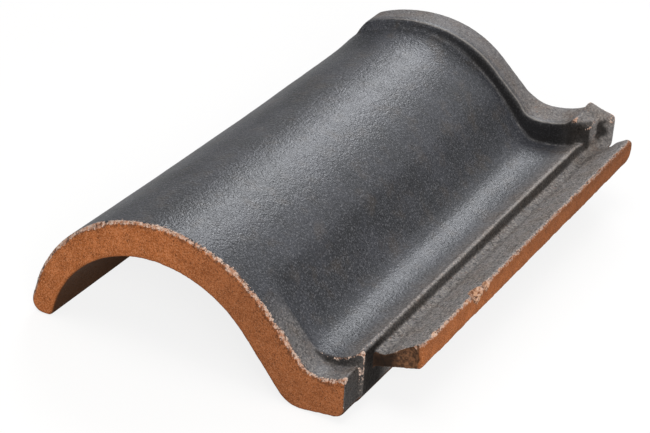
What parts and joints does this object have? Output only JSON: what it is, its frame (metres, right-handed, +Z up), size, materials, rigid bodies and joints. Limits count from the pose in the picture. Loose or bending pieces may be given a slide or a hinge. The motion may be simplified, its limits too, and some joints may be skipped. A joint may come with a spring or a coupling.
{
  "type": "clay roof tile",
  "caption": "Interlocking single-roll clay pantile: S-shaped section with roll and trough, grooved side ledge, rebated tail tongue and raised head lip, dark satin slip over orange fired clay.",
  "frame": {"origin": "middle of the tile's box, on the floor that it lies on", "axes": "+Y from the tail to the head, +X from the roll to the side ledge, +Z up"},
  "size_m": [0.2446, 0.338, 0.0959],
  "materials": {
    "fired_clay": "satin dark grey slip on the weathered side, bare orange clay on the trimmed tail face and ledge edge"
  },
  "bodies": {
    "root": {"roof_tile": "fired_clay"}
  },
  "joints": []
}
